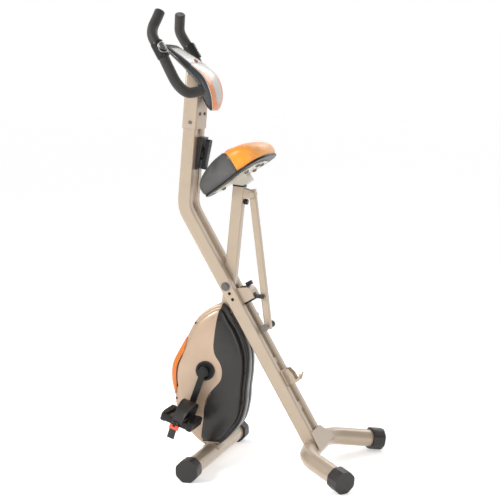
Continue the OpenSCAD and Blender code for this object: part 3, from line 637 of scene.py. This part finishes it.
# ---------------------------------------------------------------- console
# where the stations' zero lies, in mm
CONSOLE_DX = PIVOT.x / MM - 50.5
# stations down the console: face point, underside point, half width, crown
STATIONS = [
    ((-117, 1196), (-121, 1187), 46, 1.0), ((-112, 1194.5), (-117, 1180), 54, 1.5),
    ((-98, 1186), (-106, 1167), 60, 3), ((-76, 1172), (-88, 1150), 66, 4),
    ((-53, 1157), (-68, 1132), 72, 5), ((-30, 1140), (-50, 1114), 75, 6),
    ((-8, 1123), (-34, 1096), 75, 7), ((8, 1106), (-20, 1080), 73, 8),
    ((18, 1086), (-14, 1066), 70, 8), ((24, 1066), (-14, 1052), 65, 8),
    ((26, 1048), (-11, 1040), 58, 7), ((24, 1030), (-6, 1026), 49, 6),
    ((20, 1017), (-1, 1016), 39, 4), ((15, 1009), (5, 1010), 28, 2),
]
# half width of the silver panel across the face, against the distance down it
PANEL_EDGE = [(0.0, 0.74), (0.40, 0.72), (0.50, 0.50), (0.62, 0.34), (0.76, 0.40), (0.88, 0.34),
              (0.94, 0.02), (1.0, 0.0)]


def console_material():
    m, b = base_material("console_face", 0.34, 0.0, 0.3)
    n, l = links(m)

    def attr(name):
        a = n.new("ShaderNodeAttribute")
        a.attribute_name = name
        return a.outputs["Fac"]

    def math_node(op, a, c=None):
        x = n.new("ShaderNodeMath")
        x.operation = op
        for i, value in enumerate((a, c)):
            if value is None:
                continue
            if isinstance(value, bpy.types.NodeSocket):
                l.new(value, x.inputs[i])
            else:
                x.inputs[i].default_value = value
        return x.outputs[0]

    u, v, top = attr("cu"), attr("cv"), attr("ctop")
    av = math_node("ABSOLUTE", v)
    edge = n.new("ShaderNodeFloatCurve")
    curve = edge.mapping.curves[0]
    for i, (x, y) in enumerate(PANEL_EDGE):
        if i < 2:
            curve.points[i].location = (x, y)
        else:
            curve.points.new(x, y)
    edge.mapping.update()
    l.new(u, edge.inputs["Value"])
    off = math_node("SUBTRACT", av, edge.outputs[0])
    slow = noise(m, 10.0, 4)
    silver = mix(m, span(m, slow, 0, 1), (0.40, 0.41, 0.385), (0.52, 0.52, 0.49))
    orange = mix(m, span(m, slow, 0, 1), (0.60, 0.18, 0.045), (0.74, 0.26, 0.08))
    band = mix(m, span(m, slow, 0, 1), (0.030, 0.036, 0.041), (0.045, 0.052, 0.057))
    black = mix(m, span(m, slow, 0, 1), (0.016, 0.015, 0.014), (0.028, 0.027, 0.026))
    in_orange = span(m, off, 0, 1, 0.0, 0.006)
    col = mix(m, in_orange, silver, orange)
    # painted highlight: the orange pales towards peach at the top of the face
    pale = span(m, u, 0.75, 0.0, 0.42, 0.62)
    col = mix(m, math_node("MULTIPLY", pale, in_orange), col, (0.80, 0.50, 0.34))
    # a thin painted highlight along the outer edge of the orange
    col = mix(m, span(m, av, 0, 1, 0.845, 0.85), col, (0.85, 0.80, 0.72))
    col = mix(m, span(m, av, 0, 1, 0.872, 0.877), col, band)
    # display zone at the top
    upper = math_node("LESS_THAN", u, 0.40)
    col = mix(m, upper, col, black)
    lcd = math_node("MULTIPLY", math_node("LESS_THAN", u, 0.36), math_node("GREATER_THAN", u, 0.085))
    lcd = math_node("MULTIPLY", lcd, math_node("LESS_THAN", av, 0.72))
    col = mix(m, lcd, col, mix(m, span(m, slow, 0, 1), (0.50, 0.49, 0.43), (0.60, 0.58, 0.52)))
    col = mix(m, top, black, col)
    l.new(col, b.inputs["Base Color"])
    l.new(span(m, noise(m, 50.0, 6), 0.24, 0.42), b.inputs["Roughness"])
    l.new(bump(m, noise(m, 2000.0, 3), 0.25, 0.00006), b.inputs["Normal"])
    return m


# places across the console, from its middle to its edge
HALF_ACROSS = [0, 0.25, 0.45, 0.62, 0.76, 0.86, 0.93, 0.97, 1]
ACROSS = [-v for v in HALF_ACROSS[:0:-1]] + HALF_ACROSS


def console():
    face = [np.array(s[0], float) for s in STATIONS]
    run = [0.0]
    for i in range(1, len(face)):
        run.append(run[-1] + np.hypot(*(face[i] - face[i - 1])))
    keys = np.array([[*s[0], *s[1], s[2], s[3], run[i] / run[-1]] for i, s in enumerate(STATIONS)])
    rings = []
    cu = []
    cv = []
    ctop = []
    for fx, fz, bx, bz, w, crown, u in spline(keys, 5):
        n = np.array([fx - bx, fz - bz])
        depth = max(np.hypot(*n), 0.1)
        n /= depth
        ring = []
        for v in ACROSS:
            drop = crown * v * v + (0.30 * depth) * max(0, abs(v) - 0.86) ** 2 / 0.0196
            x, z = np.array([fx, fz]) - n * min(drop, depth * 0.6)
            ring.append(Vector((CONSOLE_DX + x, v * w, z)) * MM)
        for v in ACROSS[::-1]:
            taper = 1 - 0.12 * min(1, depth / 20)
            lift = 0.25 * depth * max(0, abs(v) - 0.6) / 0.4
            x, z = np.array([bx, bz]) + n * lift
            ring.append(Vector((CONSOLE_DX + x, v * w * taper, z)) * MM)
        rings.append(ring)
        cu += [u] * len(ring)
        cv += ACROSS + ACROSS[::-1]
        ctop += [1.0] * len(ACROSS) + [0.0] * len(ACROSS)
    o = loft("console_body", rings, console_material())
    for key, values in (("cu", cu), ("cv", cv), ("ctop", ctop)):
        o.data.attributes.new(key, "FLOAT", "POINT").data.foreach_set("value", values)
    finish_piece(o, "main_frame", ["console_shell", "console_window"])


console()

# ---------------------------------------------------------------- pedals
# the platform's middle and the strap's section (across, outwards), in mm
PEDAL_Y = -126
STRAP_R = 50.0
STRAP_STEPS = 40


def strap_ring(a):
    """The strap's section at an angle over the foot, from the inner edge to the outer."""
    y = PEDAL_Y + STRAP_R * math.cos(a) * (1 + 0.02 * math.sin(a))
    z = 9 + 44 * math.sin(a) ** 0.85
    half = 22 - 5 * math.cos(a) ** 2 + 1.2 * math.cos(a)
    lean = 4 + 3 * math.sin(a)
    section = [(-half, 0.2), (-half + 1.5, 1.5), (-half + 4, 0.9), (-half * 0.4, 0.9), (half * 0.4, 0.9),
               (half - 4, 0.9), (half - 1.5, 1.5), (half, 0.2), (half - 1.5, -1.3), (-half + 1.5, -1.3)]
    return [Vector((x + lean, y + math.cos(a) * proud, z + math.sin(a) * proud)) * MM
            for x, proud in section]


def lowered(ring, drop):
    return [v - Vector((0, 0, drop)) for v in ring]


def pedal(side, name, joint, tilt, body, cad):
    """Platform, treads, strap with buckle and tail; drawn for the left and mirrored."""
    parts = [
        block("p", (88, 9, 19), (0, -83, 0), BLACK, 3, 3),
        block("p", (88, 9, 19), (0, -169, 0), BLACK, 3, 3),
        block("p", (10, 14, 16), (0, -176, -6), BLACK, 4, 3),
        loft("p", sweep_rings([Vector((0, y * MM, 0)) for y in (-80, -84, -90, -162, -168, -172)],
                              [r * MM for r in (10, 12, 11, 11, 13, 9)]), BLACK),
    ]
    for end in (-1, 1):
        parts.append(block("p", (17, 90, 27), (end * 40, PEDAL_Y, 0), BLACK, 5.5, 4))
        parts.append(block("p", (8, 88, 12), (end * 20, PEDAL_Y, 0), BLACK, 1.5, 2))
        for x in (34, 40, 46):
            for k in range(7):
                parts.append(block("p", (2.4, 7, 2.0), (end * x, -158 + k * 10.7, 13.6), BLACK, 0.6, 1))
    platform = joined(name + "_body", parts)
    arch = [strap_ring(math.pi * i / STRAP_STEPS) for i in range(STRAP_STEPS + 1)]
    rings = [lowered(arch[0], 0.024), lowered(arch[0], 0.012)] + arch + [lowered(arch[-1], 0.008)]
    strap = joined(name + "_strap", [
        loft("p", rings, CHARCOAL),
        block("p", (21, 2.6, 52), (0, -177.5, -22), CHARCOAL, 1.0, 2,
              Matrix.Rotation(math.radians(4), 4, "X")),
        block("p", (27, 7, 13), (1, -178, -13), RED, 1.6, 3),
        block("p", (23, 3.5, 4), (1, -181.3, -13), RED, 1.0, 2),
    ])
    place = Matrix.Translation((JOINT_AT[joint].x, 0, JOINT_AT[joint].z))
    if side > 0:
        place = place @ Matrix.Scale(-1, 4, (0, 1, 0))
    for o, slot, node in ((platform, "black_plastic", cad[0]), (strap, "charcoal_plastic", cad[1])):
        o.data.transform(place @ Matrix.Rotation(tilt, 4, "Y"))
        if side > 0:
            o.data.flip_normals()
        shade(o.data)
        o.data.set_sharp_from_angle(angle=math.radians(40))
        finish_piece(o, body, [node])


pedal(-1, "foot_left", "pedal_left_spin", math.radians(20), "pedal_left_body", ("pedal_left", "strap_left"))
pedal(1, "foot_right", "pedal_right_spin", 0.0, "pedal_right_body", ("pedal_right", "strap_right"))

# black dust discs round the spindle, inside the hub rings: radius and distance out, in mm
DISC_SECTION = ((9.6, 50.4), (9.6, 52.2), (12, 53.0), (19, 52.6), (20.3, 51.6), (20.3, 50.4))
for side, name in ((-1, "hub_disc_left"), (1, "hub_disc_right")):
    disc = [[Vector((HUB.x + r * MM * math.cos(a), side * y * MM, HUB.z + r * MM * math.sin(a)))
             for a in turns(64)] for r, y in DISC_SECTION]
    finish_piece(loft(name, disc, BLACK, closed=True), "seat_frame")

# contact plates, in mm: inner radius, half length, and where along the bar's points they sit
PLATE_INNER = 17.6
PLATE_HALF = 17.5
PLATE_STATION = 18


def contact_plate(side, name, nodes=()):
    """A dark pad in a bright rim, on the rider's side of a grip."""
    before, mid, after = bar_points(3)[PLATE_STATION - 1:PLATE_STATION + 2]
    along = after - before
    axis = Vector((along.x, along.y * side, along.z)).normalized()
    mid.y *= -side
    face = Vector((0.80, 0.55 * side, 0.25))
    face = (face - axis * face.dot(axis)).normalized()
    third = axis.cross(face)
    parts = []
    for look, k0, k1, r0 in ((STEEL, 0.80, 1.0, 18.9), (DARK_STEEL, 0.0, 0.80, 18.6)):
        rings = []
        section = ((k0, PLATE_INNER), (k0 + 0.001, r0), ((k0 + k1) / 2, r0 + 0.15), (k1 - 0.02, r0),
                   (k1, PLATE_INNER))
        for k, r in section:
            ring = []
            for t in turns(48):
                s = k * PLATE_HALF * math.cos(t)
                round_bar = k * math.radians(50) * math.sin(t)
                d = face * math.cos(round_bar) + third * math.sin(round_bar)
                ring.append(mid + axis * s * MM + d * r * MM)
            rings.append(ring)
        parts.append(loft("p", rings, look, cap=k0 == 0.0, closed=k0 > 0))
    finish_piece(joined(name, parts), "main_frame", nodes)


contact_plate(-1, "plate_left", ["pulse_plates"])
contact_plate(1, "plate_right")

# ---------------------------------------------------------------- seat
# half the outline from above, and the height of the top along the middle, in mm
PLAN = [(-120, 0), (-117, 22), (-104, 36), (-80, 45), (-40, 57), (0, 82), (40, 104), (82, 102),
        (108, 72), (118, 36), (120, 0)]
TOP = [(-120, 46), (-112, 56), (-97, 66), (-72, 73), (-54, 77.5), (-25, 81.5), (-2, 81.5), (26, 80),
       (69, 73), (96, 62), (113, 48), (121, 40)]
half_plan = [(p[0], max(p[1], 0)) for p in spline(PLAN, 6)]
plan = smooth_loop(np.array(half_plan + [(p[0], -p[1]) for p in half_plan[-2:0:-1]]), 4)
PLAN_MID = np.array([8.0, 0.0])
PLAN_REACH = 104.0
# the cushion's section: inset, height, and how far the height follows the top line
CUSHION = [(26, 4.0, 0), (12, 4.2, 0), (5.5, 6, 0), (2.4, 12, 0), (1.6, 24, 0.05), (1.6, 36, 0.2),
           (2.0, 46, 0.4), (3.2, 55, 0.65), (6.0, 62, 0.85), (11, 68, 1), (19, 72.5, 1), (30, 75.5, 1),
           (44, 77.5, 1), (60, 78.5, 1)]
CUSHION_LOW = 4.0
CLOTH_FRAMES = 20
CLOTH_LIMIT = 0.006
PINNED_BELOW = 0.0062


def cushion_rings():
    rings = []
    for d, n, follow in CUSHION:
        ring = []
        for x, y in PLAN_MID + (plan - PLAN_MID) * np.clip(1 - d / PLAN_REACH, 0.05, 1):
            top = level(TOP, x) - 2.0
            z = n + (top - 79) * follow * (n / 77.0) ** 0.8 if follow else n
            z = min(z, top - 0.0007 * y * y)
            ring.append(Vector((x, y, max(z, CUSHION_LOW))) * MM)
        rings.append(ring)
    return rings


def inflate(o):
    """The cushion is blown up as cloth, with its underside pinned."""
    rest = np.array([v.co for v in o.data.vertices])
    pin = o.vertex_groups.new(name="pin")
    pin.add([i for i, c in enumerate(rest) if c[2] < PINNED_BELOW], 1.0, "REPLACE")
    cloth = o.modifiers.new("cloth", "CLOTH")
    cloth.settings.use_pressure = True
    cloth.settings.uniform_pressure_force = 4.0
    cloth.settings.vertex_group_mass = "pin"
    cloth.settings.effector_weights.gravity = 0
    cloth.settings.tension_stiffness = 12
    cloth.settings.bending_stiffness = 0.4
    cloth.point_cache.frame_start = 1
    cloth.point_cache.frame_end = CLOTH_FRAMES
    scene = bpy.context.scene
    for f in range(1, CLOTH_FRAMES + 1):
        scene.frame_set(f)
    deps = bpy.context.evaluated_depsgraph_get()
    moved = bpy.data.meshes.new_from_object(o.evaluated_get(deps))
    delta = np.array([v.co for v in moved.vertices]) - rest
    size = np.linalg.norm(delta, axis=1)
    delta *= np.minimum(1, CLOTH_LIMIT / np.maximum(size, 1e-9))[:, None]
    o.modifiers.clear()
    o.data.vertices.foreach_set("co", (rest + delta).astype(np.float32).ravel())
    scene.frame_set(1)
    o.vertex_groups.clear()


def seam_x(y):
    """The sewn seam's place along the seat, which moves back towards the sides."""
    return 24.0 * np.minimum(np.abs(y) / 85.0, 1.2) ** 1.6


def cushion():
    """Crowned, closed form with sides that tuck in under."""
    o = loft("seat_pad", cushion_rings(), two_tone_vinyl())
    remesh = o.modifiers.new("voxels", "REMESH")
    remesh.mode = "VOXEL"
    remesh.voxel_size = 0.005
    apply_all(o)
    inflate(o)
    smooth = o.modifiers.new("smooth", "SMOOTH")
    smooth.iterations = 6
    smooth.factor = 0.5
    finer = o.modifiers.new("finer", "SUBSURF")
    finer.levels = 1
    finer.render_levels = 1
    apply_all(o)
    # the seam is pressed in with a soft welt on both sides, and so is a line near the lower edge
    co = np.array([v.co for v in o.data.vertices]) / MM
    d = co[:, 0] - seam_x(co[:, 1])
    pull = 1.8 * np.exp(-(d / 2.6) ** 2) - 0.7 * np.exp(-((np.abs(d) - 6.5) / 3.0) ** 2)
    rim = np.exp(-((co[:, 2] - 11) / 2.6) ** 2) * 1.3
    pull = np.where(co[:, 2] > 6, pull + rim, 0)
    normals = np.array([v.normal for v in o.data.vertices])
    co = (co - normals * pull[:, None]) * MM
    o.data.vertices.foreach_set("co", co.astype(np.float32).ravel())
    o.data.attributes.new("seam", "FLOAT", "POINT").data.foreach_set("value", (d / 10.0).astype(np.float32))
    shade(o.data)
    o.data.transform(SEAT_AT)
    return finish_piece(o, "seat", ["seat_cushion"])


def two_tone_vinyl():
    m, b = base_material("seat_two_tone", 0.42, 0.0, 0.12, 0.5, 0.12)
    n, l = links(m)
    a = n.new("ShaderNodeAttribute")
    a.attribute_name = "seam"
    rear = span(m, a.outputs["Fac"], 0, 1, -0.02, 0.02)
    slow = noise(m, 14.0, 5, 0.6)
    dark = mix(m, span(m, slow, 0, 1), (0.036, 0.035, 0.033), (0.070, 0.068, 0.064))
    bright = mix(m, span(m, slow, 0, 1), (0.90, 0.29, 0.006), (0.97, 0.39, 0.020))
    pale = mix(m, span(m, a.outputs["Fac"], 0, 0.55, 3.5, 8.5), bright, (0.86, 0.42, 0.17))
    col = mix(m, rear, dark, pale)
    v = n.new("ShaderNodeTexVoronoi")
    v.inputs["Scale"].default_value = 430.0
    v.inputs["Randomness"].default_value = 0.9
    l.new(n.new("ShaderNodeTexCoord").outputs["Object"], v.inputs["Vector"])
    shade = n.new("ShaderNodeMix")
    shade.data_type = "RGBA"
    shade.blend_type = "MULTIPLY"
    sockets = [i for i in shade.inputs if i.type == "RGBA"]
    l.new(col, sockets[0])
    sockets[1].default_value = (0.62, 0.60, 0.58, 1)
    l.new(span(m, v.outputs["Distance"], 0.0, 0.5, 0.45, 0.8), shade.inputs[0])
    l.new([o for o in shade.outputs if o.type == "RGBA"][0], b.inputs["Base Color"])
    l.new(span(m, noise(m, 60.0, 6, 0.7), 0.34, 0.50), b.inputs["Roughness"])
    pebble = bump(m, span(m, v.outputs["Distance"], 1.0, 0.0, 0.30, 0.75), 0.35, 0.00030)
    l.new(bump(m, noise(m, 48.0, 4), 0.20, 0.0012, pebble), b.inputs["Normal"])
    return m


pad = cushion()


def on_pad(points, lift):
    """Drops points given in the seat's own frame (mm) onto the cushion, from outside."""
    tree = BVHTree.FromPolygons([v.co for v in pad.data.vertices], [p.vertices for p in pad.data.polygons])
    out = []
    for p in points:
        q = SEAT_AT @ (Vector(p) * MM)
        aim = SEAT_AT @ (Vector((p[0], 0, min(p[2], 40))) * MM)
        hit = tree.ray_cast(q, (aim - q).normalized())
        if hit[0] is None:
            hit = tree.find_nearest(q)
        out.append(hit[0] + hit[1] * lift)
    return out


STITCH_PITCH = 0.0042
STITCH_LENGTH = 0.0029
STITCH_GAP_LIMIT = 0.006
THREAD_R = 0.00042
# the points above the seat that are dropped onto it lie on an arc: radius and height in mm
ARC_R = 140
ARC_Z = 30
ARC_STEP = math.radians(1.72)
ARC_STEPS = 60
SEAM_HALF = 100.0


def thread_ends(hits):
    """Where each stitch starts and ends along a line of points."""
    length = [0.0]
    for a, b in zip(hits, hits[1:]):
        length.append(length[-1] + (b - a).length)
    pieces = []
    k = 0
    while (k + 1) * STITCH_PITCH < length[-1]:
        ends = []
        for s in (k * STITCH_PITCH, k * STITCH_PITCH + STITCH_LENGTH):
            j = int(np.searchsorted(length, s)) or 1
            t = (s - length[j - 1]) / max(length[j] - length[j - 1], 1e-9)
            ends.append(hits[j - 1].lerp(hits[j], t))
        if (ends[1] - ends[0]).length < STITCH_GAP_LIMIT:
            pieces.append(ends)
        k += 1
    return pieces


def stitches(name, offset, look):
    """Short threads along one side of the seam."""
    points = []
    for i in range(-ARC_STEPS, ARC_STEPS + 1):
        y = ARC_R * math.sin(i * ARC_STEP)
        z = ARC_Z + ARC_R * math.cos(i * ARC_STEP)
        points.append((float(seam_x(min(abs(y), SEAM_HALF))) + offset, y, z))
    verts = []
    faces = []
    for a, b in thread_ends(on_pad(points, 0.0004)):
        d = (b - a).normalized()
        side = d.cross(Vector((0.3, 0.1, 1))).normalized()
        up = side.cross(d)
        start = len(verts)
        for f, s in ((0, 0.35), (0.25, 1), (0.75, 1), (1, 0.35)):
            c = a.lerp(b, f)
            for angle in turns(6):
                verts.append(c + THREAD_R * s * (math.cos(angle) * side + math.sin(angle) * up))
        for i in range(3):
            for q in range(6):
                faces.append((start + i * 6 + q, start + i * 6 + (q + 1) % 6,
                              start + (i + 1) * 6 + (q + 1) % 6, start + (i + 1) * 6 + q))
    finish_piece(new_mesh(name, verts, faces, look), "seat")


stitches("stitch_front", -3.2, THREAD)
stitches("stitch_rear", 3.2, THREAD_ORANGE)

# the dark edge board under the cushion: share of the outline, and height in mm
BOARD_SECTION = ((0.90, 3.0), (0.945, 3.0), (0.955, 4.5), (0.95, 9.0), (0.90, 9.5))
board = [[SEAT_AT @ (Vector((PLAN_MID[0] + (x - PLAN_MID[0]) * k, y * k, z)) * MM) for x, y in plan]
         for k, z in BOARD_SECTION]
finish_piece(loft("seat_edge", board, BLACK), "seat")

# bolt heads under the seat: radius and height in mm
BOLT_SECTION = ((0.01, -5.4), (3.0, -5.3), (5.4, -4.6), (6.4, -3.2), (6.6, -0.6), (8.6, -0.5), (8.6, 0.2))
bolts = []
for x, y in ((-60, 0), (34, 38), (34, -38), (66, 20), (66, -20)):
    rings = [[Vector((x + r * math.cos(a), y + r * math.sin(a), z)) * MM for a in turns(24)]
             for r, z in BOLT_SECTION]
    bolts.append(loft("b", rings, DARK_STEEL))
pan_bolts = joined("pan_bolts", bolts)
pan_bolts.data.transform(SEAT_AT)
finish_piece(pan_bolts, "seat")

# ---------------------------------------------------------------- floor, light and camera
FLOOR_HALF = 60
floor_look = surface("floor_plain", (0.88, 0.88, 0.88), 0.9, vary=0.01, grain=60, grain_strength=0.02)
corners = [(FLOOR_HALF * x, FLOOR_HALF * y, 0) for x, y in ((-1, -1), (1, -1), (1, 1), (-1, 1))]
floor = new_mesh("floor", corners, [(0, 1, 2, 3)], floor_look, False)
glow = floor_look.node_tree.nodes["Principled BSDF"]
glow.inputs["Emission Color"].default_value = (1, 1, 1, 1)
glow.inputs["Emission Strength"].default_value = 0.42
floor.location.z = -0.0005

world = bpy.data.worlds.new("studio")
bpy.context.scene.world = world
world.use_nodes = True
wn, wl = world.node_tree.nodes, world.node_tree.links
split_dir = wn.new("ShaderNodeSeparateXYZ")
wl.new(wn.new("ShaderNodeTexCoord").outputs["Generated"], split_dir.inputs[0])
ramp = wn.new("ShaderNodeMapRange")
ramp.inputs["From Min"].default_value = 0.1
ramp.inputs["From Max"].default_value = 0.7
ramp.inputs["To Min"].default_value = 0.50
ramp.inputs["To Max"].default_value = 1.0
wl.new(split_dir.outputs["Y"], ramp.inputs["Value"])
wl.new(ramp.outputs["Result"], wn["Background"].inputs["Strength"])
wn["Background"].inputs["Color"].default_value = (1, 1, 1, 1)


def lamp(name, place, aim, size, power):
    data = bpy.data.lights.new(name, "AREA")
    data.shape = "RECTANGLE"
    data.size, data.size_y = size
    data.energy = power
    o = linked(name, data)
    o.location = place
    o.rotation_euler = (Vector(aim) - Vector(place)).to_track_quat("-Z", "Y").to_euler()


lamp("key", (-2.2, -2.2, 2.4), (0, 0, 0.7), (1.0, 1.4), 84)
lamp("fill", (1.6, -2.8, 1.2), (0, 0, 0.6), (0.8, 1.6), 16)
lamp("rim", (0.6, 2.4, 2.4), (0, 0, 0.8), (2.0, 1.0), 20)

# the photograph's viewing angle; focal length in pixels of a 500 pixel picture
CAM_AZ = math.radians(17.2)
CAM_EL = math.radians(6.7)
CAM_ROLL = math.radians(-0.75)
CAM_DIST = 3.69
CAM_F = 1305.0
PICTURE = 500.0
SENSOR = 36.0
target = Vector((-0.0515, 0, 0.616))
back = Vector((math.sin(CAM_AZ) * math.cos(CAM_EL), -math.cos(CAM_AZ) * math.cos(CAM_EL), math.sin(CAM_EL)))
camera = linked("camera", bpy.data.cameras.new("camera"))
camera.location = target + back * CAM_DIST
roll = Quaternion((0, 0, 1), CAM_ROLL)
camera.rotation_euler = ((-back).to_track_quat("-Z", "Y") @ roll).to_euler()
camera.data.lens = SENSOR * CAM_F / PICTURE
camera.data.sensor_width = SENSOR
bpy.context.scene.camera = camera
bpy.context.scene.view_settings.view_transform = "Standard"
